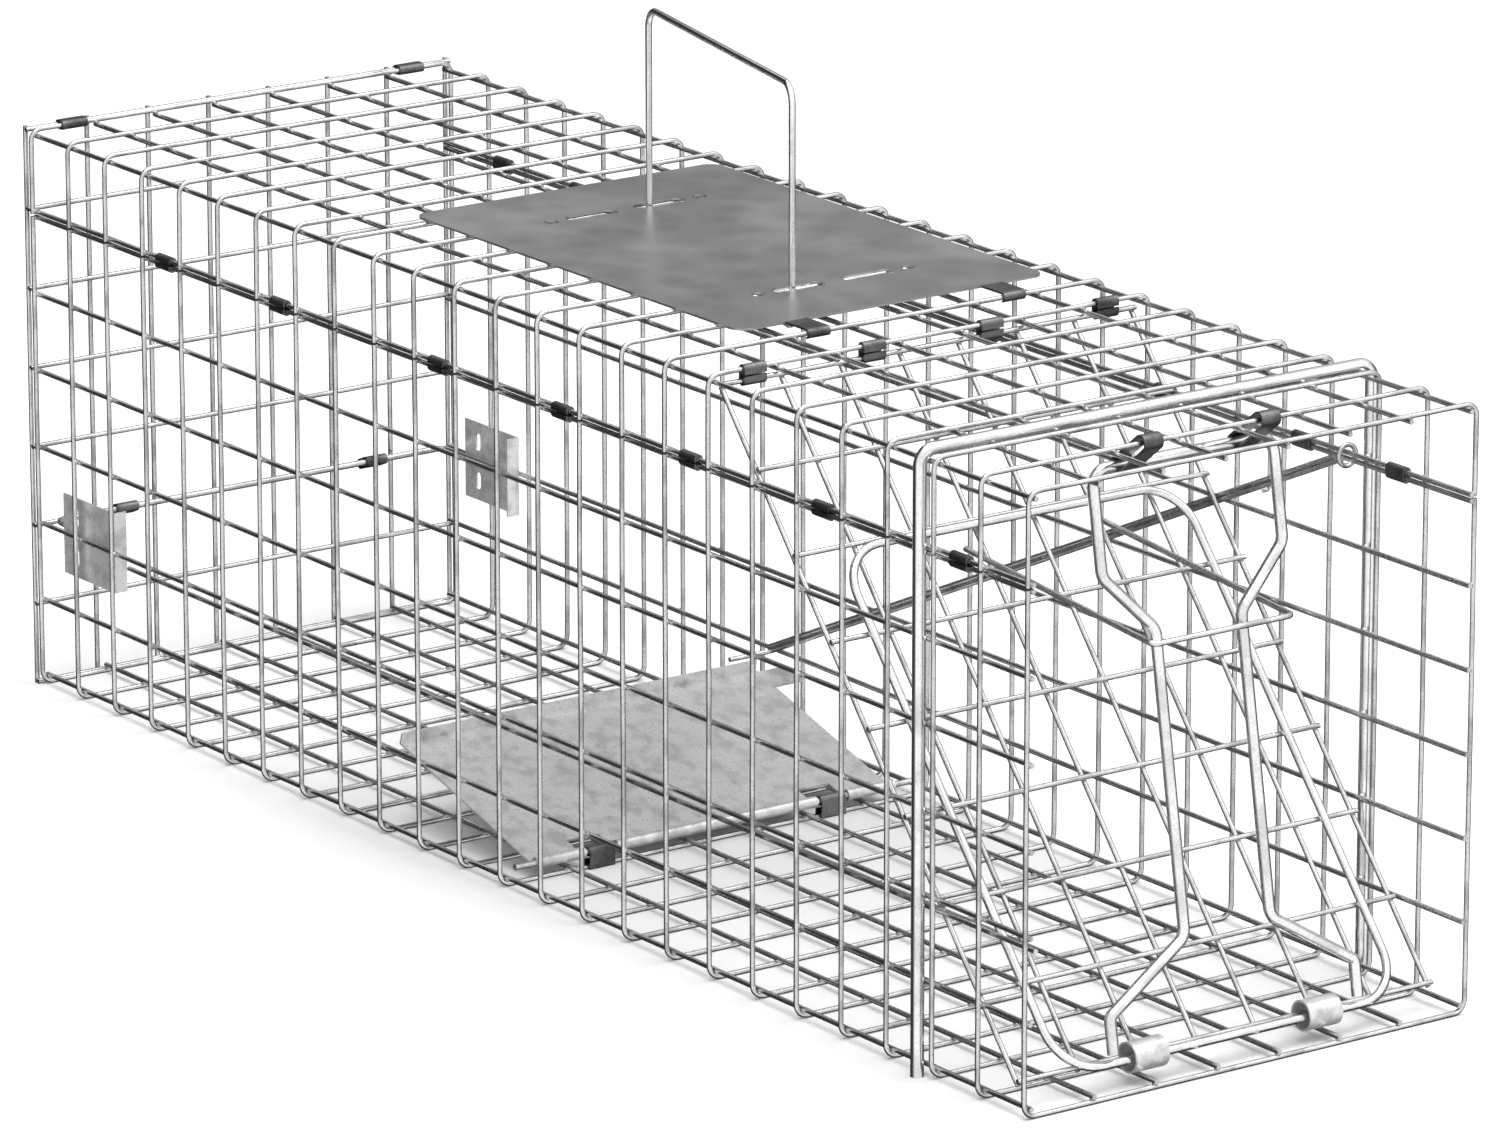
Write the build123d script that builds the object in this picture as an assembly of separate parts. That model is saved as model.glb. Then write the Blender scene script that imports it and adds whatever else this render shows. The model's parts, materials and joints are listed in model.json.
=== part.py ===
from build123d import *
import os
from math import atan2, cos, hypot, radians, sin

# Live catch trap: a long cage of welded wire with a sloping gravity door.
# +X runs to the door end, +Y to the side the trigger rod is on, +Z up.
# The origin is at floor level, in the middle of the footprint. Sizes are in millimetres.

# Cage
cage_length = 800.0
cage_width = 246.0
cage_height = 280.0
cells_long = 24
cells_across = 7
wall_rows = 5
mesh_wire = 2.4
floor_bend = 6.0
roof_bend = 5.5
seam_drop = 43.4
seam_pair = 2.8
seam_gap = 1.2

# Crimped sheet clips
sheet = 1.0
clip_slack = 0.15
clip_length = 12.0
clip_mouth = 0.8
near_clip_cells = (3, 6, 10, 13, 16, 19, 22)
far_clip_cells = (1, 3, 8, 13, 17, 20, 22)

# Front hoop
hoop_wire = 6.0
hoop_setback = 75.0

# Rear door and its latch
rear_gap = 0.4
rear_hinge_inset = 24.0
rear_clip_length = 14.0
latch_offset = 2.0
latch_side_gap = 2.0
latch_wire = 3.0
latch_arm = 47.0
keeper_length = 46.0
keeper_height = 40.0
keeper_setback = 18.0
keeper_flange = 6.0
keeper_slot = 9.0
keeper_slot_width = 4.0
keeper_drop = 1.9
latch_clip_place = 73.1
rail_wire = 2.4
rail_height = 75.6
rail_start = 75.0

# Sloping door
hinge_cell = 17
hinge_gap = 0.3
door_foot_setback = 15.1
door_rows = 8
door_side_gap = 1.1
door_clip_inner = 32.6
door_clip_outer = 97.6
frame_wire = 4.0
frame_top = 88.0
frame_overhang = 3.0
frame_half_width = 93.8
frame_bend = 22.0
sleeve_radius = 7.0
sleeve_length = 18.0
sleeve_spacing = 96.0
sleeve_gap = 0.6

# Lock bail
bail_wire = 5.4
bail_setback = 51.6
bail_drop = 15.1
bail_toe_setback = 9.0
bail_toe_height = 17.0
bail_top_half = 49.4
bail_waist_half = 23.5
bail_foot_half = 67.5
bail_shoulder = 219.0
bail_waist_top = 193.0
bail_waist_bottom = 60.0
bail_ankle = 33.0
bail_bend = 8.0
bail_foot_bend = 3.0
strap_spacing = 64.0
strap_length = 10.0

# Stay link between the bail's waist and the door frame
stay_wire = 2.8
stay_near = -28.5
stay_far = 48.0
stay_gap = 0.4
stay_bend = 3.0
stay_drop = 5.0
stay_below_frame = 10.0

# Trigger
rod_wire = 2.4
rod_eye_setback = 86.0
rod_eye_radius = 4.8
rod_overlap = 18.0
rod_hook = 24.0
rod_hook_bend = 3.0
rod_neck = 5.0
rod_side_slack = 0.1
hanger_wire = 1.6
hanger_share = 0.3
hanger_slack = 0.5
pedal_cell = 12
pedal_length = 112.0
pedal_width = 204.0
pedal_rise = 16.0
pivot_wire = 3.0
pivot_slack = 0.2
pedal_clip_spacing = 132.0
pedal_clip_length = 14.0
pedal_lip = 6.0
pedal_ear = 14.0
ear_gap = 0.8

# Guard plate and carry handle
plate_length = 260.0
plate_width = 172.0
plate_corner = 8.0
plate_offset_x = -10.8
plate_offset_y = 15.7
slot_length = 28.0
slot_width = 9.0
slot_spacing = 38.4
slot_front_cell = 14
slot_front_offset = 3.87
slot_rear_cell = 9
slot_rear_offset = 5.45
pinhole_radius = 3.4
pinhole_spacing = 84.0
handle_wire = 3.2
handle_rise = 95.0
handle_bend = 9.0
handle_foot = 14.0
handle_foot_drop = 12.0
handle_near_y = -7.4
handle_far_y = 29.0
hook_spacing = 109.0
hook_width = 12.0

# Places worked out from the sizes above
wire_r = mesh_wire / 2
front_end = cage_length / 2
shell_rear = -cage_length / 2 + 2 * mesh_wire + rear_gap
first_cross = shell_rear + wire_r
cell_x = (front_end - wire_r - first_cross) / cells_long
outer_y = cage_width / 2 - wire_r
inner_y = outer_y - mesh_wire
inner_face = inner_y - wire_r
roof_outer_z = cage_height - wire_r
roof_inner_z = roof_outer_z - mesh_wire
seam_z = cage_height - seam_drop
seam_low = seam_z - seam_pair / 2
seam_high = seam_z + seam_pair / 2


def cross_x(index):
    """Place of a cross wire along the cage."""
    return first_cross + index * cell_x


def cell_middle(index):
    """Middle of the cell that follows a cross wire."""
    return first_cross + (index + 0.5) * cell_x


def rod(start, end, diameter):
    """Straight wire between two points."""
    line = Line(start, end)
    return sweep(Plane(origin=line @ 0, z_dir=line % 0) * Circle(diameter / 2), path=line)


def bent_rod(points, radii, diameter):
    """Wire bent at each inner point of its path."""
    path = FilletPolyline(*points, radius=radii)
    return sweep(Plane(origin=path @ 0, z_dir=path % 0) * Circle(diameter / 2), path=path)


def clip(first, second, along, length, radius):
    """Crimped sheet clip round two parallel wires, open along one side."""
    a = Vector(*first)
    b = Vector(*second)
    axis = Vector(*along).normalized()
    middle = (a + b) * 0.5
    across = b - a
    plane = Plane(origin=middle - axis * (length / 2), x_dir=across, z_dir=axis)
    inside = 2 * (radius + clip_slack)
    profile = SlotCenterToCenter(across.length, inside + 2 * sheet)
    profile -= SlotCenterToCenter(across.length, inside)
    profile -= Pos(0, -inside / 2) * Rectangle(clip_mouth, 2 * inside)
    return extrude(plane * profile, length)


def save(name, *solids):
    """Write one node from its separate solids."""
    parts = [piece for solid in solids for piece in solid.solids()]
    shape = Compound(children=parts) if len(parts) > 1 else parts[0]
    export_step(shape, f"parts/{name}.step")


# ---------------------------------------------------------------- cage
def corner_nest(bend):
    """How far inside the outer face a lengthwise wire sits when it nests in a bend."""
    return wire_r + bend - (bend - mesh_wire) * cos(radians(45))


def body_cross_wires():
    """U wires: down one wall, across the floor and up the other."""
    wires = []
    top = seam_z - seam_gap / 2
    for index in range(cells_long + 1):
        x = cross_x(index)
        corners = [(x, -outer_y, top), (x, -outer_y, wire_r), (x, outer_y, wire_r), (x, outer_y, top)]
        wires.append(bent_rod(corners, floor_bend, mesh_wire))
    return wires


def lengthwise(y, z):
    """One wire from end to end of the cage."""
    return rod((shell_rear, y, z), (front_end, y, z), mesh_wire)


floor_nest = corner_nest(floor_bend)
wall_row = (seam_low - floor_nest) / (wall_rows + 1)


def body_long_wires():
    """Lengthwise wires of the floor and both walls, inside the U wires."""
    edge = cage_width / 2 - floor_nest
    wires = [lengthwise(-edge + 2 * edge * k / cells_across, floor_nest if k in (0, cells_across)
             else mesh_wire + wire_r) for k in range(cells_across + 1)]
    for side in (-1, 1):
        for k in range(1, wall_rows + 2):
            wires.append(lengthwise(side * inner_y, floor_nest + k * wall_row))
    return wires


def top_cross_wires():
    """Inverted U wires: over the roof and one cell down each side."""
    wires = []
    bottom = seam_z + seam_gap / 2
    for index in range(cells_long + 1):
        x = cross_x(index)
        corners = [(x, -outer_y, bottom), (x, -outer_y, roof_outer_z),
                   (x, outer_y, roof_outer_z), (x, outer_y, bottom)]
        wires.append(bent_rod(corners, roof_bend, mesh_wire))
    return wires


roof_nest = corner_nest(roof_bend)
roof_edge = cage_width / 2 - roof_nest
roof_cell = 2 * roof_edge / cells_across


def top_long_wires():
    """Lengthwise wires of the roof, and the edge wire of each flange."""
    wires = [lengthwise(side * roof_edge, cage_height - roof_nest) for side in (-1, 1)]
    for k in range(1, cells_across):
        wires.append(lengthwise(-roof_edge + k * roof_cell, roof_inner_z))
    for side in (-1, 1):
        wires.append(lengthwise(side * inner_y, seam_high))
    return wires


def seam_clips(side, cells):
    """Clips that hold the two shells together along one seam."""
    return [clip((cell_middle(k), side * inner_y, seam_low), (cell_middle(k), side * inner_y, seam_high),
                 (side, 0, 0), clip_length, wire_r) for k in cells]


def front_hoop():
    """Heavy inverted U that lies on the lengthwise wires, round the outside of the cage."""
    x = front_end - hoop_setback
    out = (hoop_wire - mesh_wire) / 2
    y = inner_y + wire_r + hoop_wire / 2
    z = roof_inner_z + wire_r + hoop_wire / 2
    corners = [(x, -y, 0), (x, -y, z), (x, y, z), (x, y, 0)]
    return bent_rod(corners, roof_bend + out, hoop_wire)


def side_rail():
    """Plain rod along the inside of the wall at -Y."""
    y = -(inner_face - rail_wire / 2)
    return rod((shell_rear + rail_start, y, rail_height), (front_end, y, rail_height), rail_wire)


# ---------------------------------------------------------------- rear door
rear_bar_x = shell_rear - rear_gap - wire_r
rear_post_x = rear_bar_x - mesh_wire
rear_rows = wall_rows + 2


def rear_door_mesh():
    """Flat mesh panel over the back end: cross bars inside, posts outside."""
    half = outer_y
    bars = [rod((rear_bar_x, -half - wire_r, wire_r + k * (roof_outer_z - wire_r) / rear_rows),
                (rear_bar_x, half + wire_r, wire_r + k * (roof_outer_z - wire_r) / rear_rows), mesh_wire)
            for k in range(rear_rows + 1)]
    posts = [rod((rear_post_x, -half + 2 * half * k / cells_across, 0),
                 (rear_post_x, -half + 2 * half * k / cells_across, cage_height), mesh_wire)
             for k in range(cells_across + 1)]
    return bars + posts


def rear_hinge_clips():
    """Clips round the rear door's top bar and the cage's last cross wire."""
    y = outer_y - rear_hinge_inset
    return [clip((cross_x(0), side * y, roof_outer_z), (rear_bar_x, side * y, roof_outer_z),
                 (0, 1, 0), rear_clip_length, wire_r) for side in (-1, 1)]


latch_x = rear_bar_x + wire_r + latch_wire / 2 + 2 * sheet
latch_side = inner_face - sheet - latch_side_gap - latch_wire / 2
latch_bar_row = 2 * (roof_outer_z - wire_r) / rear_rows + wire_r
latch_height = latch_bar_row + latch_offset


def rear_latch_bar():
    """U rod across the inside of the rear door, with an arm along each wall."""
    tip = latch_x + latch_arm
    z = latch_height
    side = latch_side
    corners = [(tip, -side, z), (latch_x, -side, z), (latch_x, side, z), (tip, side, z)]
    return bent_rod(corners, 2 * latch_wire, latch_wire)


def latch_bar_clips():
    """Sheet clips that hang the latch bar on a cross bar of the rear door."""
    return [clip((rear_bar_x, side * latch_clip_place, latch_bar_row),
                 (latch_x, side * latch_clip_place, latch_height), (0, 1, 0), clip_length, latch_wire / 2)
            for side in (-1, 1)]


def latch_keeper(side):
    """Slotted sheet keeper on the inside of a wall, with a flange at its front edge."""
    x0 = shell_rear + keeper_setback
    face = side * inner_face
    plate = Box(keeper_length, sheet, keeper_height, align=(Align.MIN, Align.CENTER, Align.CENTER))
    for level in (-1, 1):
        slot = Plane.XZ * Pos(keeper_length / 4, level * keeper_height / 4)
        plate -= extrude(slot * SlotOverall(keeper_slot, keeper_slot_width, rotation=90), sheet, both=True)
    edge = Pos(keeper_length, -side * sheet / 2, 0)
    edge *= Box(sheet, keeper_flange, keeper_height,
                align=(Align.MAX, Align.MAX if side > 0 else Align.MIN, Align.CENTER))
    return Pos(x0, face - side * sheet / 2, latch_height - keeper_drop) * (plate + edge)


# ---------------------------------------------------------------- sloping door
hinge_x = cross_x(hinge_cell)
hinge_z = roof_outer_z - 2 * mesh_wire - hinge_gap
door_run = front_end - door_foot_setback - hinge_x
door_foot_height = 2 * mesh_wire + sleeve_radius + sleeve_gap
door_fall = hinge_z - door_foot_height
door_length = hypot(door_run, door_fall)
door_pitch = door_length / door_rows
door_half = inner_face - max(rod_wire, rail_wire) - door_side_gap - wire_r
slope_cos = door_run / door_length
slope_sin = door_fall / door_length


def on_door(down, y, out):
    """Point on the closed door: distance down the slope, across, and out from the mesh."""
    return (hinge_x + down * slope_cos + out * slope_sin, y, hinge_z - down * slope_sin + out * slope_cos)


def door_mesh():
    """Mesh of the door: rungs on the front, long wires behind them."""
    reach = door_half + wire_r
    rungs = [rod(on_door(k * door_pitch, -reach, 0), on_door(k * door_pitch, reach, 0), mesh_wire)
             for k in range(door_rows + 1)]
    foot = door_length + wire_r
    long_wires = []
    for k in range(cells_across + 1):
        y = -door_half + 2 * door_half * k / cells_across
        long_wires.append(rod(on_door(0, y, -mesh_wire), on_door(foot, y, -mesh_wire), mesh_wire))
    return rungs + long_wires


frame_out = wire_r + frame_wire / 2
frame_bottom = door_length + frame_overhang


def door_frame():
    """Closed rectangle of heavy wire on the front of the door mesh."""
    low = on_door(frame_bottom, 0, frame_out)
    plane = Plane(origin=low, x_dir=(0, 1, 0), z_dir=(slope_sin, 0, slope_cos))
    tall = frame_bottom - frame_top
    wide = 2 * frame_half_width
    outline = Pos(0, tall / 2) * RectangleRounded(wide, tall, frame_bend)
    path = (plane * outline).face().outer_wire()
    section = Plane(origin=path @ 0, z_dir=path % 0) * Circle(frame_wire / 2)
    return sweep(section, path=path)


def door_sleeves():
    """Rolled sheet sleeves that tie the frame's bottom bar to the mesh."""
    sleeves = []
    low = Vector(*on_door(frame_bottom, 0, frame_out))
    last_rung = Vector(*on_door(door_length, 0, 0))
    middle = (low + last_rung) * 0.5
    axis_plane = Plane(origin=middle, x_dir=(-slope_cos, 0, slope_sin), z_dir=(0, 1, 0))
    for side in (-1, 1):
        ring = Circle(sleeve_radius) - Circle(sleeve_radius - sheet)
        body = extrude(axis_plane * ring, sleeve_length / 2, both=True)
        body = Pos(0, side * sleeve_spacing / 2, 0) * body
        for k in range(cells_across + 1):
            y = -door_half + 2 * door_half * k / cells_across
            body -= rod(on_door(frame_top, y, -mesh_wire), on_door(door_length + mesh_wire, y, -mesh_wire),
                        mesh_wire + 2 * clip_slack)
        sleeves.append(body)
    return sleeves


def door_hinge_clips():
    """Clips round the door's top rung and the roof's cross wire above it."""
    places = (-door_clip_outer, -door_clip_inner, door_clip_inner, door_clip_outer)
    return [clip((hinge_x, y, roof_outer_z), (hinge_x, y, hinge_z), (0, 1, 0), clip_length, wire_r)
            for y in places]


# ---------------------------------------------------------------- lock bail and stay link
bail_x = front_end - bail_setback
bail_z = cage_height - bail_drop
toe_x = front_end - bail_toe_setback
bail_lean = atan2(toe_x - bail_x, bail_z - bail_toe_height)


def on_bail(height, y):
    """Point on the closed bail's plane at a height above the floor."""
    return (bail_x + (bail_z - height) * (toe_x - bail_x) / (bail_z - bail_toe_height), y, height)


def lock_bail():
    """Hourglass of heavy wire that hangs from the roof in front of the door."""
    half = [(bail_toe_height, bail_foot_half), (bail_ankle, bail_foot_half),
            (bail_waist_bottom, bail_waist_half), (bail_waist_top, bail_waist_half),
            (bail_shoulder, bail_top_half), (bail_z, bail_top_half)]
    points = [on_bail(height, -y) for height, y in half]
    points += [on_bail(height, y) for height, y in reversed(half)]
    radii = [bail_foot_bend, bail_bend, bail_bend, bail_bend, bail_bend]
    return bent_rod(points, radii + radii[::-1], bail_wire)


strap_anchor = cells_long - 1


def bail_straps():
    """Sheet straps that hang the bail's top bar from a roof cross wire."""
    return [clip((cross_x(strap_anchor), side * strap_spacing / 2, roof_outer_z),
                 (bail_x, side * strap_spacing / 2, bail_z), (0, 1, 0), strap_length, bail_wire / 2)
            for side in (-1, 1)]


stay_front = bail_wire / 2 + stay_wire / 2 + stay_gap


def stay_link():
    """Thin U wire: its cross edge lies in front of the bail's waist, its arms run to the door frame."""
    x, _, z = on_bail(bail_waist_top - stay_drop, 0)
    front_x = x + stay_front / cos(bail_lean)
    back_x, _, back_z = on_door(frame_top + stay_below_frame, 0, wire_r + stay_gap)
    corners = [(back_x, stay_near, back_z), (front_x, stay_near, z), (front_x, stay_far, z),
               (back_x, stay_far, back_z)]
    return bent_rod(corners, stay_bend, stay_wire)


# ---------------------------------------------------------------- trigger
rod_y = inner_face - rod_wire / 2 - rod_side_slack
eye_x = front_end - rod_eye_setback
rod_head = (eye_x, rod_y, seam_low)
pivot_x = cross_x(pedal_cell)
pivot_z = 2 * mesh_wire + pivot_wire / 2 + 2 * sheet
pedal_cos = cos(radians(pedal_rise))
pedal_sin = sin(radians(pedal_rise))
ear_x = pivot_x - (pedal_length - pedal_ear / 2) * pedal_cos
ear_z = pivot_z + pedal_length * pedal_sin
rod_tail = (ear_x - rod_overlap, rod_y, ear_z + ear_gap + rod_wire)


def trigger_rod():
    """Doubled wire along the wall at +Y, with an eye round the seam and its rear end turned in."""
    eye = Plane(origin=(eye_x, inner_y, seam_z), z_dir=(1, 0, 0)) * Circle(rod_eye_radius)
    path = eye.face().outer_wire()
    ring = sweep(Plane(origin=path @ 0, z_dir=path % 0) * Circle(rod_wire / 2), path=path)
    tail = Vector(*rod_tail)
    head = Vector(*rod_head)
    way = (head - tail).normalized()
    lift = Vector(-way.Z, 0, way.X) * rod_wire
    lower = bent_rod([tail - Vector(0, rod_hook, 0), tail, head], rod_hook_bend, rod_wire) + ring
    upper = rod(tail + lift, head + lift - way * rod_neck, rod_wire)
    return [lower, upper]


def rod_hanger():
    """Thin J wire from the seam that the trigger rod lies in."""
    low = floor_nest + (wall_rows + hanger_share) * wall_row
    rod_z = low + hanger_wire / 2 + rod_wire / 2 + hanger_slack
    share = (rod_z - rod_tail[2]) / (rod_head[2] - rod_tail[2])
    x = rod_tail[0] + share * (rod_head[0] - rod_tail[0])
    corners = [(x, inner_y, seam_low - wire_r), (x, inner_y, low), (x, rod_y - rod_wire / 2, low)]
    return bent_rod(corners, hanger_wire, hanger_wire)


knuckle = pivot_wire / 2 + pivot_slack + sheet


def pedal_pivot():
    """Cross rod that the foot plate turns on."""
    half = inner_face - 2 * mesh_wire
    return rod((pivot_x, -half, pivot_z), (pivot_x, half, pivot_z), pivot_wire)


def pedal_clips():
    """Clips that hold the pivot rod to a floor cross wire."""
    y = pedal_clip_spacing / 2
    return [clip((pivot_x, side * y, wire_r), (pivot_x, side * y, pivot_z), (0, 1, 0),
                 pedal_clip_length, pivot_wire / 2) for side in (-1, 1)]


def trigger_pedal():
    """Foot plate that rises to the rear from its pivot rod, with an ear under the trigger rod."""
    plane = Plane(origin=(pivot_x, 0, pivot_z), x_dir=(-pedal_cos, 0, pedal_sin), z_dir=(0, 1, 0))
    ring = Circle(knuckle) - Circle(knuckle - sheet)
    reach = Pos(knuckle / 2 + pedal_length / 2, -knuckle + sheet / 2)
    outline = ring + reach * Rectangle(pedal_length + knuckle, sheet)
    outline -= Circle(knuckle - sheet)
    lip = Pos(pedal_length + knuckle, pedal_lip / 2 - knuckle) * Rectangle(sheet, pedal_lip)
    body = extrude(plane * (outline + lip), pedal_width / 2, both=True)
    for side in (-1, 1):
        notch = Box(2 * pedal_clip_length, pedal_clip_length + 4 * sheet, 2 * pedal_clip_length)
        body -= Pos(pivot_x, side * pedal_clip_spacing / 2, pivot_z) * notch
    ear = Pos(pedal_length - pedal_ear / 2, -knuckle + sheet / 2) * Rectangle(pedal_ear, sheet)
    reach = rod_y + rod_wire / 2
    return body + Pos(0, reach / 2, 0) * extrude(plane * ear, reach / 2, both=True)


# ---------------------------------------------------------------- guard plate and handle
slot_row_front = cross_x(slot_front_cell) + slot_front_offset
slot_row_rear = cross_x(slot_rear_cell) + slot_rear_offset


def guard_plate():
    """Flat sheet on the roof with two rows of slots for the handle."""
    outline = RectangleRounded(plate_length, plate_width, plate_corner)
    for row in (slot_row_rear, slot_row_front):
        for side in (-1, 1):
            x = row - plate_offset_x
            outline -= Pos(x, side * slot_spacing / 2) * SlotOverall(slot_length, slot_width, rotation=90)
            outline -= Pos(x, side * pinhole_spacing / 2) * Circle(pinhole_radius)
    return Pos(plate_offset_x, plate_offset_y, cage_height) * extrude(outline, sheet)


def plate_hooks():
    """Sheet hooks from the plate's front edge over the next roof cross wire."""
    hooks = []
    edge = plate_offset_x + plate_length / 2
    wire_x = min((cross_x(k) for k in range(cells_long + 1) if cross_x(k) > edge), default=edge)
    reach = wire_r + clip_slack
    for side in (-1, 1):
        curl = Circle(reach + sheet) - Circle(reach)
        curl -= Pos(-reach - sheet, 0) * Rectangle(2 * reach + 2 * sheet, 4 * reach)
        profile = Pos((edge + wire_x) / 2 - wire_x, reach + sheet / 2) * Rectangle(wire_x - edge, sheet)
        profile += curl
        y = plate_offset_y + side * hook_spacing / 2
        plane = Plane(origin=(wire_x, y, roof_outer_z), x_dir=(1, 0, 0), z_dir=(0, -1, 0))
        hooks.append(extrude(plane * profile, hook_width / 2, both=True))
    return hooks


def carry_handle():
    """Wire handle: two legs through the plate's slots, with feet turned in under the roof."""
    top = cage_height + handle_rise
    low = roof_inner_z - wire_r - handle_foot_drop
    rear = Vector(slot_row_rear, handle_far_y, 0)
    front = Vector(slot_row_front, handle_near_y, 0)
    inward = (front - rear).normalized() * handle_foot
    corners = [rear + inward + Vector(0, 0, low), rear + Vector(0, 0, low), rear + Vector(0, 0, top),
               front + Vector(0, 0, top), front + Vector(0, 0, low), front - inward + Vector(0, 0, low)]
    return bent_rod(corners, [handle_wire, handle_bend, handle_bend, handle_wire], handle_wire)


os.makedirs("parts", exist_ok=True)
save("body_cross_wires", *body_cross_wires())
save("body_long_wires", *body_long_wires())
save("top_cross_wires", *top_cross_wires())
save("top_long_wires", *top_long_wires())
save("near_seam_clips", *seam_clips(-1, near_clip_cells))
save("far_seam_clips", *seam_clips(1, far_clip_cells))
save("front_hoop", front_hoop())
save("side_rail", side_rail())
save("rear_door_mesh", *rear_door_mesh())
save("rear_hinge_clips", *rear_hinge_clips())
save("rear_latch_bar", rear_latch_bar())
save("latch_bar_clips", *latch_bar_clips())
save("near_latch_keeper", latch_keeper(-1))
save("far_latch_keeper", latch_keeper(1))
save("door_mesh", *door_mesh())
save("door_frame", door_frame())
save("door_sleeves", *door_sleeves())
save("door_hinge_clips", *door_hinge_clips())
save("lock_bail", lock_bail())
save("bail_straps", *bail_straps())
save("stay_link", stay_link())
save("trigger_rod", *trigger_rod())
save("rod_hanger", rod_hanger())
save("trigger_pedal", trigger_pedal())
save("pedal_pivot", pedal_pivot())
save("pedal_clips", *pedal_clips())
save("guard_plate", guard_plate())
save("plate_hooks", *plate_hooks())
save("carry_handle", carry_handle())
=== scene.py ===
import json
import math

import bmesh
import bpy
import numpy as np
from mathutils import Matrix, Vector


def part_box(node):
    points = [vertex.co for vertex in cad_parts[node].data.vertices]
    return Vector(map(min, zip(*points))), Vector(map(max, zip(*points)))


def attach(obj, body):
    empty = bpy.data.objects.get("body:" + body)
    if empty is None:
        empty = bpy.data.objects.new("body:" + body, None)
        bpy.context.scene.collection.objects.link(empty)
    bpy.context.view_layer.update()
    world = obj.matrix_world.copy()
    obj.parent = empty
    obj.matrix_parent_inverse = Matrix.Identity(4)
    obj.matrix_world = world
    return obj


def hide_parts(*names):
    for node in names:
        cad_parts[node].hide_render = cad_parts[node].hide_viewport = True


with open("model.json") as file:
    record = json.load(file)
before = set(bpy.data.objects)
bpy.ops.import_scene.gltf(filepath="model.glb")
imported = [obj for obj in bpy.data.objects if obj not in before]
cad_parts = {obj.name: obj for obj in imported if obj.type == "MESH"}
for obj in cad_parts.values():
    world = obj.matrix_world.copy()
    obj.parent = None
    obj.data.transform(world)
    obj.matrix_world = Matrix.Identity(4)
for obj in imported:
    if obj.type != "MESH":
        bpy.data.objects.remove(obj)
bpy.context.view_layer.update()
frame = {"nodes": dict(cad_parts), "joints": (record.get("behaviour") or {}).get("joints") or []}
nodes = frame["nodes"]
joints = {joint["name"]: joint for joint in frame["joints"]}

# sizes in metres, where the frame doesn't give them
WIRE = 0.0024
WIRE_R = WIRE / 2
CELL_STEP = 0.0333
TOUCHING = WIRE * 1.05
LONG_BAR = 0.1
FLOOR_BEND = 0.006
ROOF_BEND = 0.0055
HEAVY_BEND = 0.008
FRAME_WIRE = 0.004
FRAME_BEND = 0.022
BAIL_WIRE = 0.0054
BAIL_FOOT_BEND = 0.003
BAIL_TOE_Z = 0.017
BAIL_ANKLE_Z = 0.033
BAIL_WAIST_LOW_Z = 0.060
BAIL_WAIST_TOP_Z = 0.193
BAIL_SHOULDER_Z = 0.219
BAIL_TOP_HALF = 0.0494
BAIL_WAIST_HALF = 0.0235
STAY_WIRE = 0.0028
STAY_BEND = 0.003
STAY_END_GAP = 0.0001
EYE_RADIUS = 0.0048
EYE_POINTS = 32
ROD_NECK = 0.005
ROD_HOOK_BEND = 0.003
HANDLE_WIRE = 0.0032
HANDLE_BEND = 0.009
HANDLE_FOOT = 0.014
PIVOT_WIRE_R = 0.0015
WAVER = 0.0008
WAVER_SCALE = 9.0
NUGGET_WIDTH = 1.12
NUGGET_HEIGHT = 0.7
MESH_SIDES = 10
THIN_SIDES = 14
HEAVY_SIDES = 20
HANDLE_SIDES = 18
FLOOR_REACH = 14.0
SEED = 7


# ---------------------------------------------------------------- shader maths
class Socket:
    """A shader socket that adds Math nodes when it is used in an expression."""

    def __init__(self, tree, link):
        self.tree = tree
        self.link = link

    def math(self, operation, *others):
        return make(self.tree, "ShaderNodeMath", {"operation": operation}, (self, *others))

    def __add__(self, other):
        return self.math("ADD", other)

    def __mul__(self, other):
        return self.math("MULTIPLY", other)

    __radd__ = __add__
    __rmul__ = __mul__

    def ramp(self, low, high):
        """0 below low, 1 above high, smooth between."""
        settings = {"interpolation_type": "SMOOTHSTEP"}
        values = {"Value": self, "From Min": low, "From Max": high}
        return make(self.tree, "ShaderNodeMapRange", settings, values)


def make(tree, kind, settings=None, inputs=(), output=0):
    """Adds a node, sets it up, and returns one of its outputs as a Socket."""
    node = tree.nodes.new(kind)
    for name, value in (settings or {}).items():
        setattr(node, name, value)
    pairs = inputs.items() if isinstance(inputs, dict) else enumerate(inputs)
    for name, value in pairs:
        socket = node.inputs[name]
        if isinstance(value, Socket):
            tree.links.new(value.link, socket)
        else:
            socket.default_value = value
    return Socket(tree, node.outputs[output])


def blank_material(name):
    """A new material with its Principled shader."""
    material = bpy.data.materials.new(name)
    material.use_nodes = True
    return material, material.node_tree, material.node_tree.nodes["Principled BSDF"]


def feed(tree, shader, name, socket):
    tree.links.new(socket.link, shader.inputs[name])


# sockets that share a name are told apart by their place
OBJECT_COORDINATES = 3
COLOUR_A = 6
COLOUR_B = 7
MIXED_COLOUR = 2
DENT = 0.0006


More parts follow.
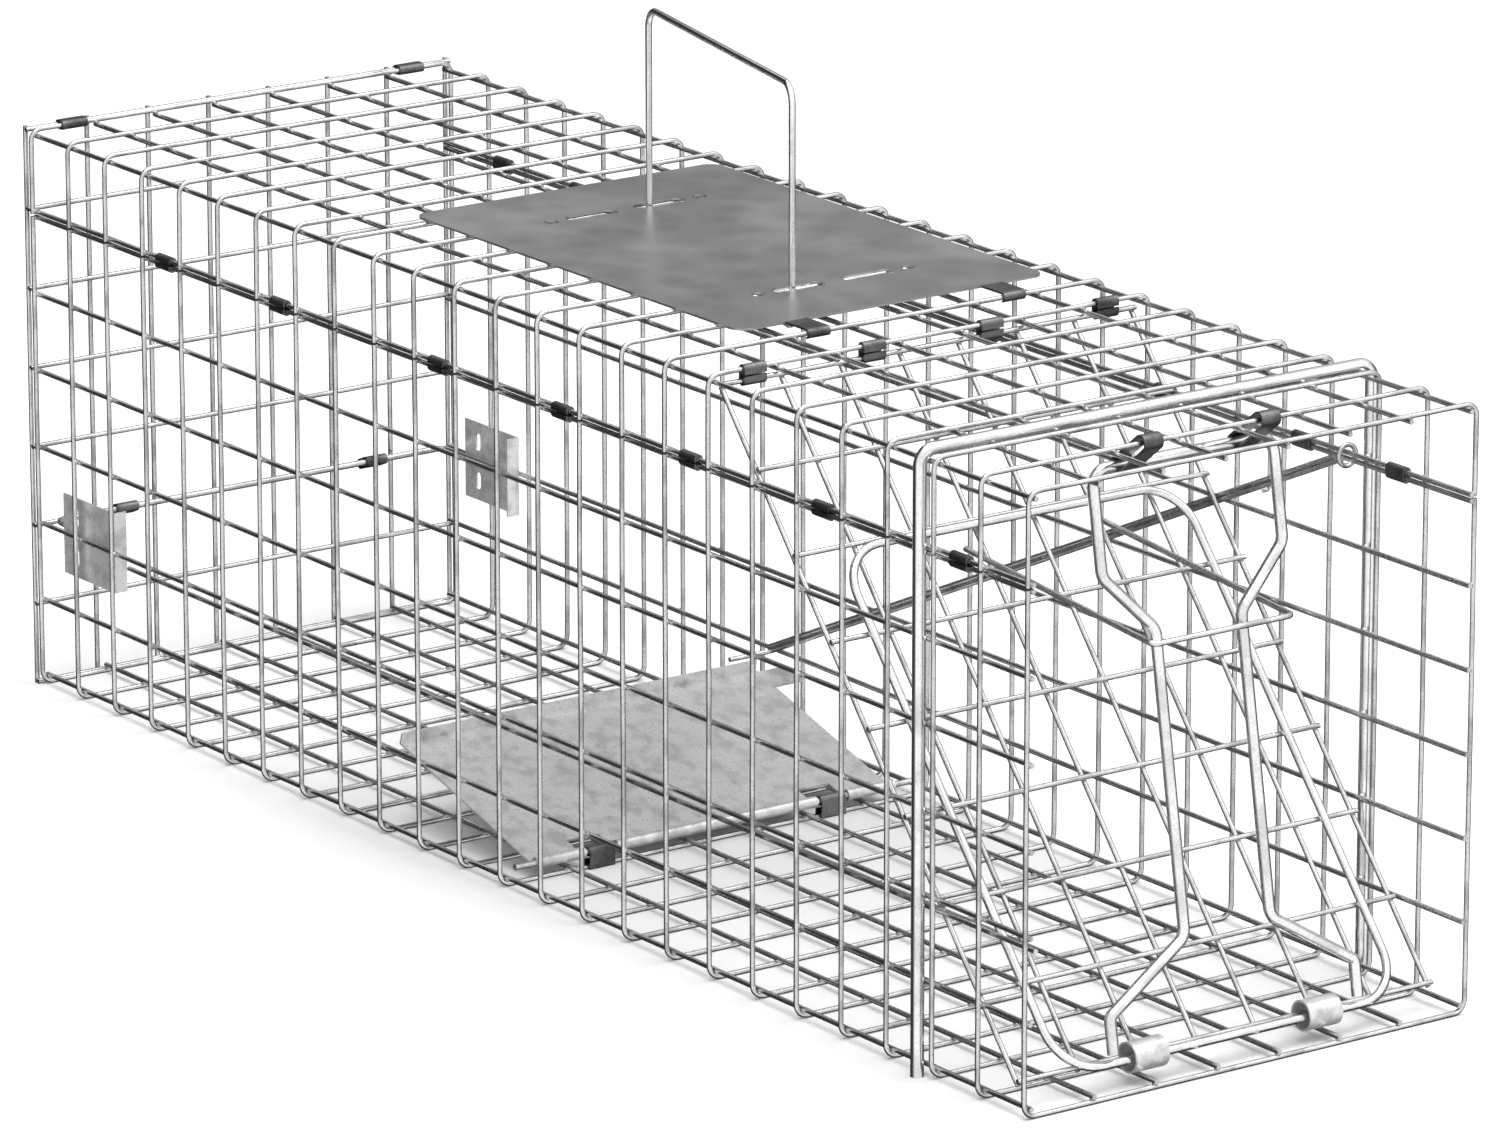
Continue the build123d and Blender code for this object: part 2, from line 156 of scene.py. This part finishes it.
def zinc(name, light, dark, rough, grain=900.0, spangle=60.0, bump=0.12, metal=1.0):
    """Zinc-plated steel: fine drawn grain, cloudy spangle and small dull specks."""
    material, tree, shader = blank_material(name)
    where = make(tree, "ShaderNodeTexCoord", output=OBJECT_COORDINATES)
    cloud = make(tree, "ShaderNodeTexNoise", None, {"Vector": where, "Scale": spangle, "Detail": 5.0})
    fine = make(tree, "ShaderNodeTexNoise", None, {"Vector": where, "Scale": grain, "Detail": 3.0})
    cells = make(tree, "ShaderNodeTexVoronoi", None, {"Vector": where, "Scale": spangle * 4.0})
    dull = cloud.ramp(0.42, 0.68) * 0.7 + fine.ramp(0.45, 0.7) * 0.3
    mix = make(tree, "ShaderNodeMix", {"data_type": "RGBA"},
               {"Factor": dull, COLOUR_A: (*light, 1.0), COLOUR_B: (*dark, 1.0)}, output=MIXED_COLOUR)
    feed(tree, shader, "Base Color", mix)
    feed(tree, shader, "Roughness", rough + dull * 0.16 + cells.ramp(0.0, 0.9) * 0.05)
    height = cloud * 0.6 + fine * 0.4
    dent = make(tree, "ShaderNodeBump", None, {"Height": height, "Strength": bump, "Distance": DENT})
    feed(tree, shader, "Normal", dent)
    shader.inputs["Metallic"].default_value = metal
    return material


mesh_zinc = zinc("mesh_wire_zinc", (0.74, 0.745, 0.75), (0.36, 0.365, 0.37), 0.20)
bright_zinc = zinc("heavy_wire_zinc", (0.95, 0.95, 0.955), (0.66, 0.67, 0.68), 0.12, bump=0.06)
rod_zinc = zinc("rod_zinc", (0.80, 0.805, 0.81), (0.38, 0.385, 0.39), 0.22)
sheet_zinc = zinc("bright_sheet_zinc", (0.80, 0.80, 0.80), (0.46, 0.465, 0.47), 0.26, 900.0, 110.0, metal=0.6)
# painted shade: the clips' near-black base colour stands in for the shadow they sit in, not a darker zinc
clip_painted_shade_zinc = zinc("clip_sheet_painted_shade", (0.20, 0.20, 0.205), (0.05, 0.05, 0.052), 0.34)
plate_zinc = zinc("plate_sheet_zinc", (0.46, 0.465, 0.46), (0.40, 0.405, 0.40), 0.33, spangle=14.0, bump=0.03)
weld_zinc = zinc("weld_zinc", (0.46, 0.465, 0.47), (0.18, 0.18, 0.185), 0.34, grain=1500.0)


# ---------------------------------------------------------------- geometry node trees
def node_group(name, sizes):
    """A geometry node tree with named number inputs. Returns the tree, its input node and its last socket."""
    tree = bpy.data.node_groups.new(name, "GeometryNodeTree")
    tree.interface.new_socket("Geometry", in_out="INPUT", socket_type="NodeSocketGeometry")
    for label, kind in sizes:
        tree.interface.new_socket(label, in_out="INPUT", socket_type=kind)
    tree.interface.new_socket("Geometry", in_out="OUTPUT", socket_type="NodeSocketGeometry")
    start = tree.nodes.new("NodeGroupInput")
    end = tree.nodes.new("NodeGroupOutput")
    return tree, start, end


def given(tree, start, label):
    return Socket(tree, start.outputs[label])


def drawn_wire_tree():
    """Sweeps a round section along every path, with the slight waver of drawn wire."""
    tree, start, end = node_group("drawn_wire", [
        ("Wire radius", "NodeSocketFloat"), ("Sides", "NodeSocketInt"), ("Waver", "NodeSocketFloat"),
        ("Material", "NodeSocketMaterial")])
    spot = make(tree, "GeometryNodeInputPosition")
    noise = make(tree, "ShaderNodeTexNoise", None,
                 {"Vector": spot, "Scale": WAVER_SCALE, "Detail": 1.0}, output=1)
    centred = make(tree, "ShaderNodeVectorMath", {"operation": "SUBTRACT"}, (noise, (0.5, 0.5, 0.5)))
    shift = make(tree, "ShaderNodeVectorMath", {"operation": "SCALE"},
                 {0: centred, "Scale": given(tree, start, "Waver")})
    paths = make(tree, "GeometryNodeMeshToCurve", None, {"Mesh": given(tree, start, "Geometry")})
    moved = make(tree, "GeometryNodeSetPosition", None, {"Geometry": paths, "Offset": shift})
    ring = make(tree, "GeometryNodeCurvePrimitiveCircle", None,
                {"Resolution": given(tree, start, "Sides"), "Radius": given(tree, start, "Wire radius")})
    tube = make(tree, "GeometryNodeCurveToMesh", None,
                {"Curve": moved, "Profile Curve": ring, "Fill Caps": True})
    real = make(tree, "GeometryNodeRealizeInstances", None, {"Geometry": tube})
    smooth = make(tree, "GeometryNodeSetShadeSmooth", None, {"Geometry": real})
    done = make(tree, "GeometryNodeSetMaterial", None,
                {"Geometry": smooth, "Material": given(tree, start, "Material")})
    tree.links.new(done.link, end.inputs[0])
    return tree


def weld_tree():
    """Puts a small flattened nugget at every point, lying along the point's own direction."""
    tree, start, end = node_group("weld_nuggets", [
        ("Nugget radius", "NodeSocketFloat"), ("Nugget height", "NodeSocketFloat"),
        ("Seed", "NodeSocketInt"), ("Material", "NodeSocketMaterial")])
    bead = make(tree, "GeometryNodeMeshUVSphere", None, {"Segments": 8, "Rings": 5, "Radius": 1.0})
    facing = make(tree, "GeometryNodeInputNamedAttribute", {"data_type": "FLOAT_VECTOR"}, {"Name": "facing"})
    turn = make(tree, "FunctionNodeAlignRotationToVector", {"axis": "Z"}, {"Vector": facing})
    across = given(tree, start, "Nugget radius")
    high = given(tree, start, "Nugget height")
    size = make(tree, "ShaderNodeCombineXYZ", None, (across, across, high))
    vary = make(tree, "FunctionNodeRandomValue", {"data_type": "FLOAT"},
                {2: 0.8, 3: 1.15, "Seed": given(tree, start, "Seed")}, output=1)
    scale = make(tree, "ShaderNodeVectorMath", {"operation": "SCALE"}, {0: size, "Scale": vary})
    spots = given(tree, start, "Geometry")
    beads = make(tree, "GeometryNodeInstanceOnPoints", None,
                 {"Points": spots, "Instance": bead, "Rotation": turn, "Scale": scale})
    real = make(tree, "GeometryNodeRealizeInstances", None, {"Geometry": beads})
    smooth = make(tree, "GeometryNodeSetShadeSmooth", None, {"Geometry": real})
    done = make(tree, "GeometryNodeSetMaterial", None,
                {"Geometry": smooth, "Material": given(tree, start, "Material")})
    tree.links.new(done.link, end.inputs[0])
    return tree


def bake(obj, tree, values, material):
    """Runs a tree on an object and returns the result as a plain mesh object."""
    modifier = obj.modifiers.new("shape", "NODES")
    modifier.node_group = tree
    for item in tree.interface.items_tree:
        if item.in_out == "INPUT" and item.name in values:
            modifier[item.identifier] = values[item.name]
        if item.in_out == "INPUT" and item.name == "Material":
            modifier[item.identifier] = material
    graph = bpy.context.evaluated_depsgraph_get()
    mesh = bpy.data.meshes.new_from_object(obj.evaluated_get(graph))
    obj.modifiers.remove(modifier)
    old = obj.data
    obj.data = mesh
    mesh.name = obj.name
    bpy.data.meshes.remove(old)
    if not mesh.materials:
        mesh.materials.append(material)
    return obj


wire_tree = drawn_wire_tree()
nugget_tree = weld_tree()


def place(obj):
    bpy.context.scene.collection.objects.link(obj)
    return obj


def outward(mesh):
    """Turns every face of a closed mesh outwards."""
    work = bmesh.new()
    work.from_mesh(mesh)
    bmesh.ops.recalc_face_normals(work, faces=work.faces)
    work.to_mesh(mesh)
    work.free()


def wires(name, paths, radius, material, body, stands_for, sides=12, waver=0.0, loops=()):
    """One piece of round wires that follow open paths and closed loops."""
    points = []
    edges = []
    for path in [*paths, *loops]:
        first = len(points)
        points += [tuple(p) for p in path]
        edges += [(k, k + 1) for k in range(first, len(points) - 1)]
        if path in loops:
            edges.append((len(points) - 1, first))
    mesh = bpy.data.meshes.new(name)
    mesh.from_pydata(points, edges, [])
    obj = place(bpy.data.objects.new(name, mesh))
    bake(obj, wire_tree, {"Wire radius": radius, "Sides": sides, "Waver": waver}, material)
    outward(obj.data)
    for face in obj.data.polygons:
        face.use_smooth = len(face.vertices) == 4
    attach(obj, body)
    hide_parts(*stands_for)
    return obj


def welds(name, spots, radius, body):
    """One piece of weld nuggets. Each spot is a place and the direction across the two wires."""
    mesh = bpy.data.meshes.new(name)
    mesh.from_pydata([tuple(spot) for spot, _ in spots], [], [])
    facing = mesh.attributes.new("facing", "FLOAT_VECTOR", "POINT")
    facing.data.foreach_set("vector", [c for _, way in spots for c in way])
    obj = place(bpy.data.objects.new(name, mesh))
    sizes = {"Nugget radius": radius * NUGGET_WIDTH, "Nugget height": radius * NUGGET_HEIGHT, "Seed": SEED}
    bake(obj, nugget_tree, sizes, weld_zinc)
    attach(obj, body)
    return obj


# ---------------------------------------------------------------- reading the frame
def solids_of(node):
    """The corner points of each separate solid of a CAD node, as arrays."""
    work = bmesh.new()
    work.from_mesh(nodes[node].data)
    bmesh.ops.remove_doubles(work, verts=work.verts, dist=1e-6)
    work.verts.ensure_lookup_table()
    seen = set()
    groups = []
    for vert in work.verts:
        if vert.index in seen:
            continue
        stack = [vert]
        seen.add(vert.index)
        group = []
        while stack:
            here = stack.pop()
            group.append(here.co.copy())
            for edge in here.link_edges:
                there = edge.other_vert(here)
                if there.index not in seen:
                    seen.add(there.index)
                    stack.append(there)
        groups.append(np.array(group))
    work.free()
    return groups


def straight(points, step=0.0):
    """Centre line of a straight bar from its corner points."""
    centre = (points.min(0) + points.max(0)) / 2
    _, _, turns = np.linalg.svd(points - points.mean(0))
    way = turns[0] / np.linalg.norm(turns[0])
    reach = (points - centre) @ way
    start = centre + way * reach.min()
    end = centre + way * reach.max()
    parts = max(1, round(float(np.linalg.norm(end - start)) / step)) if step else 1
    return [Vector(start + (end - start) * k / parts) for k in range(parts + 1)]


def bent(corners, radii, arc_parts=8, closed=False, step=0.0):
    """Centre line through corners, with each one rounded by its radius."""
    count = len(corners)
    corners = [Vector(c) for c in corners]
    radii = radii if isinstance(radii, (list, tuple)) else [radii] * count
    line = []
    for k, corner in enumerate(corners):
        if not closed and k in (0, count - 1):
            line.append(corner)
            continue
        before = (corners[k - 1] - corner).normalized()
        after = (corners[(k + 1) % count] - corner).normalized()
        half = before.angle(after) / 2
        radius = radii[k]
        cut = radius / math.tan(half)
        middle = corner + (before + after).normalized() * radius / math.sin(half)
        start = corner + before * cut - middle
        end = corner + after * cut - middle
        turn = start.angle(end)
        axis = start.cross(end).normalized()
        for part in range(arc_parts + 1):
            line.append(middle + Matrix.Rotation(turn * part / arc_parts, 3, axis) @ start)
    if not step:
        return line
    fine = [line[0]]
    for there in line[1:]:
        here = fine[-1]
        parts = max(1, round((there - here).length / step))
        fine += [here.lerp(there, part / parts) for part in range(1, parts + 1)]
    return fine


def u_wires(node, bend, down):
    """Centre lines of the cage's bent cross wires, read from each solid's box."""
    lines = []
    for points in solids_of(node):
        low, high = points.min(0), points.max(0)
        x = (low[0] + high[0]) / 2
        y0, y1 = low[1] + WIRE_R, high[1] - WIRE_R
        turn_z = high[2] - WIRE_R if down else low[2] + WIRE_R
        end_z = low[2] if down else high[2]
        corners = [(x, y0, end_z), (x, y0, turn_z), (x, y1, turn_z), (x, y1, end_z)]
        lines.append(bent(corners, bend, step=CELL_STEP))
    return lines


def bars(node, step=CELL_STEP):
    """Centre lines of a node's straight wires."""
    return [straight(points, step) for points in solids_of(node)]


def ends(lines):
    """The first and last point of each centre line."""
    return [(line[0], line[-1]) for line in lines]


def crossings(first, second):
    """Places where two sets of wires touch, with the direction from one wire to the other."""
    spots = []
    for a in first:
        a0, a1 = a[0], a[-1]
        for b0, b1 in second:
            u, v = a1 - a0, b1 - b0
            if u.cross(v).length < 1e-9:
                continue
            normal = u.cross(v).normalized()
            apart = (b0 - a0).dot(normal)
            s = (b0 - a0).cross(v).dot(u.cross(v)) / u.cross(v).length_squared
            t = (b0 - a0).cross(u).dot(u.cross(v)) / u.cross(v).length_squared
            if abs(apart) < TOUCHING and -0.001 <= s <= 1.001 and -0.001 <= t <= 1.001:
                spots.append((a0 + u * s + normal * apart / 2, normal))
    return spots


def legs(lines, shortest=0.02):
    """The straight stretches of bent centre lines."""
    found = []
    for line in lines:
        start = line[0]
        for k in range(1, len(line)):
            ends_here = k == len(line) - 1
            turning = not ends_here and (line[k] - line[k - 1]).angle(line[k + 1] - line[k]) > 0.01
            if ends_here or turning:
                if (line[k] - start).length > shortest:
                    found.append((start, line[k]))
                start = line[k]
    return found


# ---------------------------------------------------------------- cage and doors
def cage_part(cross_piece, long_piece, cross_node, long_node, bend, down):
    """One bent shell of the cage. Returns the places of its welds."""
    across = u_wires(cross_node, bend, down)
    along = bars(long_node)
    wires(cross_piece, across, WIRE_R, mesh_zinc, "cage", [cross_node], MESH_SIDES, WAVER)
    wires(long_piece, along, WIRE_R, mesh_zinc, "cage", [long_node], MESH_SIDES, WAVER)
    return crossings(ends(along), legs(across))


def panel(wire_piece, weld_piece, node, body, waver):
    """A flat welded panel of rungs and stiles."""
    lines = bars(node)
    wires(wire_piece, lines, WIRE_R, mesh_zinc, body, [node], MESH_SIDES, waver)
    rungs = [pair for pair in ends(lines) if abs((pair[0] - pair[1]).y) > LONG_BAR]
    stiles = [pair for pair in ends(lines) if abs((pair[0] - pair[1]).y) <= LONG_BAR]
    welds(weld_piece, crossings(rungs, stiles), WIRE_R, body)


body_welds = cage_part("body_u_wires", "body_length_wires", "body_cross_wires", "body_long_wires",
                       FLOOR_BEND, down=False)
roof_welds = cage_part("roof_u_wires", "roof_length_wires", "top_cross_wires", "top_long_wires",
                       ROOF_BEND, down=True)
welds("cage_welds", body_welds + roof_welds, WIRE_R, "cage")
panel("rear_door_wires", "rear_door_welds", "rear_door_mesh", "rear_door", WAVER)
panel("door_wires", "door_welds", "door_mesh", "door", 0.0)


# ---------------------------------------------------------------- heavy wires
def hoop():
    """The heavy wire arch round the front of the cage."""
    low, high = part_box("front_hoop")
    radius = (high.x - low.x) / 2
    x = (high.x + low.x) / 2
    y0, y1, z = low.y + radius, high.y - radius, high.z - radius
    line = bent([(x, y0, 0), (x, y0, z), (x, y1, z), (x, y1, 0)], ROOF_BEND + radius - WIRE_R, 12)
    wires("outer_hoop", [line], radius, bright_zinc, "cage", ["front_hoop"], HEAVY_SIDES)


def rail():
    """The plain wire along the near wall."""
    wires("side_rail_wire", bars("side_rail", 0), WIRE_R, rod_zinc, "cage", ["side_rail"])


def door_frame():
    """Closed rectangle that lies on the front of the door."""
    low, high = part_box("door_frame")
    radius = FRAME_WIRE / 2
    y0, y1 = low.y + radius, high.y - radius
    top = (low.x + radius, high.z - radius)
    foot = (high.x - radius, low.z + radius)
    corners = [(top[0], y0, top[1]), (foot[0], y0, foot[1]), (foot[0], y1, foot[1]), (top[0], y1, top[1])]
    line = bent(corners, FRAME_BEND, 12, closed=True)
    wires("door_frame_wire", [], radius, bright_zinc, "door", ["door_frame"], HEAVY_SIDES, loops=[line])


def bail_point(bail_pivot, height, y):
    """A point of the bail's sloping plane at a height."""
    _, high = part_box("lock_bail")
    toe_x = high.x - BAIL_WIRE / 2
    share = (bail_pivot.z - height) / (bail_pivot.z - BAIL_TOE_Z)
    return (bail_pivot.x + share * (toe_x - bail_pivot.x), y, height)


def lock_bail():
    """The hinged prop that holds the door shut: wide shoulders, a narrow waist and feet on the sleeves."""
    bail_pivot = Vector(joints["bail_swing"]["pos_m"])
    _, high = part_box("lock_bail")
    foot_half = high.y - BAIL_WIRE / 2
    half = [(BAIL_TOE_Z, foot_half), (BAIL_ANKLE_Z, foot_half),
            (BAIL_WAIST_LOW_Z, BAIL_WAIST_HALF), (BAIL_WAIST_TOP_Z, BAIL_WAIST_HALF),
            (BAIL_SHOULDER_Z, BAIL_TOP_HALF), (bail_pivot.z, BAIL_TOP_HALF)]
    corners = [bail_point(bail_pivot, z, -y) for z, y in half]
    corners += [bail_point(bail_pivot, z, y) for z, y in reversed(half)]
    radii = [0, BAIL_FOOT_BEND] + [HEAVY_BEND] * 8 + [BAIL_FOOT_BEND, 0]
    line = bent(corners, radii, 10)
    wires("lock_bail_wire", [line], BAIL_WIRE / 2, bright_zinc, "bail", ["lock_bail"], HEAVY_SIDES)


def stay_link():
    """The thin U wire from the bail's waist back to the door."""
    low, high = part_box("stay_link")
    radius = STAY_WIRE / 2
    y0, y1 = low.y + radius, high.y - radius
    back = Vector((low.x + STAY_END_GAP, 0, high.z - radius))
    front = Vector((high.x - radius, 0, low.z + radius))
    near = Vector((0, y0, 0))
    far = Vector((0, y1, 0))
    corners = [back + near, front + near, front + far, back + far]
    line = bent(corners, STAY_BEND, 10)
    wires("stay_link_wire", [line], radius, rod_zinc, "stay", ["stay_link"], THIN_SIDES)


def trigger_rod():
    """Two long wires side by side, with an eye round the seam and the lower one turned in at the rear."""
    low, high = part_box("trigger_rod")
    eye = Vector((high.x - WIRE_R, high.y - WIRE_R - EYE_RADIUS, high.z - WIRE_R - EYE_RADIUS))
    bar = min(solids_of("trigger_rod"), key=lambda points: np.ptp(points[:, 1]))
    upper = sorted(straight(bar), key=lambda point: point.x)
    way = (upper[-1] - upper[0]).normalized()
    drop = Vector((way.z, 0, -way.x)) * WIRE
    tail = upper[0] + drop
    lower = bent([(tail.x, low.y, tail.z), tail, upper[-1] + way * ROD_NECK + drop], ROD_HOOK_BEND)
    angles = [math.tau * k / EYE_POINTS for k in range(EYE_POINTS)]
    ring = [eye + Vector((0, math.cos(angle), math.sin(angle))) * EYE_RADIUS for angle in angles]
    wires("trigger_rod_wires", [upper, lower], WIRE_R, rod_zinc, "trigger", ["trigger_rod"],
          THIN_SIDES, loops=[ring])


def hanger():
    """The thin wire that carries the trigger rod."""
    low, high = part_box("rod_hanger")
    radius = (high.x - low.x) / 2
    x = (low.x + high.x) / 2
    out = high.y - radius
    line = bent([(x, out, high.z), (x, out, low.z + radius), (x, low.y, low.z + radius)], radius * 2)
    wires("rod_hanger_wire", [line], radius, rod_zinc, "cage", ["rod_hanger"], MESH_SIDES)


def latch_bar():
    """The U wire across the rear door, whose ends enter the keepers."""
    low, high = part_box("rear_latch_bar")
    radius = (high.z - low.z) / 2
    z = (high.z + low.z) / 2
    y0, y1, x = low.y + radius, high.y - radius, low.x + radius
    line = bent([(high.x, y0, z), (x, y0, z), (x, y1, z), (high.x, y1, z)], 4 * radius, 10)
    wires("latch_bar_wire", [line], radius, rod_zinc, "latch", ["rear_latch_bar"], THIN_SIDES)


def handle():
    """The carry handle, with its feet turned in under the plate."""
    low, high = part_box("carry_handle")
    radius = HANDLE_WIRE / 2
    top = high.z - radius
    foot = low.z + radius
    rear = Vector((low.x + radius, high.y - radius, 0))
    front = Vector((high.x - radius, low.y + radius, 0))
    inward = (front - rear).normalized() * HANDLE_FOOT
    up = Vector((0, 0, top))
    down = Vector((0, 0, foot))
    corners = [rear + inward + down, rear + down, rear + up, front + up, front + down, front - inward + down]
    line = bent(corners, [0, HANDLE_WIRE, HANDLE_BEND, HANDLE_BEND, HANDLE_WIRE, 0], 12)
    wires("carry_handle_wire", [line], radius, bright_zinc, "handle", ["carry_handle"], HANDLE_SIDES)


hoop()
rail()
door_frame()
lock_bail()
stay_link()
trigger_rod()
hanger()
latch_bar()
handle()
wires("pedal_pivot_rod", bars("pedal_pivot", 0), PIVOT_WIRE_R, rod_zinc, "cage", ["pedal_pivot"], THIN_SIDES)

# the seam, hinge, latch and pedal clips, the bail straps and the plate hooks all get the clip finish, whose
# near-black colour is painted shade
finishes = {"near_seam_clips": clip_painted_shade_zinc, "far_seam_clips": clip_painted_shade_zinc, "rear_hinge_clips": clip_painted_shade_zinc,
            "latch_bar_clips": clip_painted_shade_zinc, "door_hinge_clips": clip_painted_shade_zinc, "bail_straps": clip_painted_shade_zinc,
            "pedal_clips": clip_painted_shade_zinc, "near_latch_keeper": sheet_zinc, "far_latch_keeper": sheet_zinc,
            "door_sleeves": sheet_zinc, "trigger_pedal": sheet_zinc, "guard_plate": plate_zinc,
            "plate_hooks": clip_painted_shade_zinc}
for node, finish in finishes.items():
    nodes[node].data.materials.clear()
    nodes[node].data.materials.append(finish)


# ---------------------------------------------------------------- stage, light and camera
def studio_floor():
    """A pale floor that the zinc doesn't mirror."""
    mesh = bpy.data.meshes.new("studio_floor")
    corners = [(-1, -1), (1, -1), (1, 1), (-1, 1)]
    mesh.from_pydata([(x * FLOOR_REACH, y * FLOOR_REACH, 0) for x, y in corners], [], [(0, 1, 2, 3)])
    obj = place(bpy.data.objects.new("studio_floor", mesh))
    material, _, shader = blank_material("studio_white")
    shader.inputs["Base Color"].default_value = (0.93, 0.93, 0.93, 1.0)
    shader.inputs["Roughness"].default_value = 0.7
    shader.inputs["Specular IOR Level"].default_value = 0.2
    mesh.materials.append(material)
    obj.visible_glossy = False


def soft_light(name, spot, aim, size, power):
    """A rectangular softbox at a spot, turned to its aim."""
    light = bpy.data.lights.new(name, "AREA")
    light.shape = "RECTANGLE"
    light.size, light.size_y = size
    light.energy = power
    obj = place(bpy.data.objects.new(name, light))
    obj.location = spot
    obj.rotation_euler = (Vector(aim) - Vector(spot)).to_track_quat("-Z", "Y").to_euler()


def studio_world():
    """Bright on the door side and above, dark behind and low on the near side, as cards would do."""
    world = bpy.data.worlds.new("studio")
    world.use_nodes = True
    bpy.context.scene.world = world
    tree = world.node_tree
    way = make(tree, "ShaderNodeTexCoord", output=0)

    def toward(x, y, z):
        aim = Vector((x, y, z)).normalized()
        return make(tree, "ShaderNodeVectorMath", {"operation": "DOT_PRODUCT"}, (way, aim), output=1)

    key = toward(0.9, -0.35, 0.35).ramp(-0.15, 0.45)
    top = toward(0.1, 0.5, 0.85).ramp(0.55, 0.95)
    strip = toward(-0.78, 0.24, 0.58).ramp(0.965, 0.995)
    back = toward(-0.45, 0.85, 0.25).ramp(0.80, 0.97)
    strength = key + top * 0.55 + strip * 0.9 + back * 0.35 + 0.04
    background = tree.nodes["Background"]
    tree.links.new(strength.link, background.inputs["Strength"])
    background.inputs["Color"].default_value = (1.0, 1.0, 1.0, 1.0)


studio_floor()
studio_world()
soft_light("top_softbox", (0.3, 0.2, 2.6), (0, 0, 0.1), (2.4, 2.4), 62)

camera = place(bpy.data.objects.new("camera", bpy.data.cameras.new("camera")))
camera.location = (3.5562, -2.5357, 1.3989)
camera.rotation_euler = tuple(math.radians(a) for a in (73.783, 0.030, 54.274))
camera.data.sensor_width = 36.0
camera.data.lens = 236.6
bpy.context.scene.camera = camera
bpy.context.scene.view_settings.view_transform = "Standard"
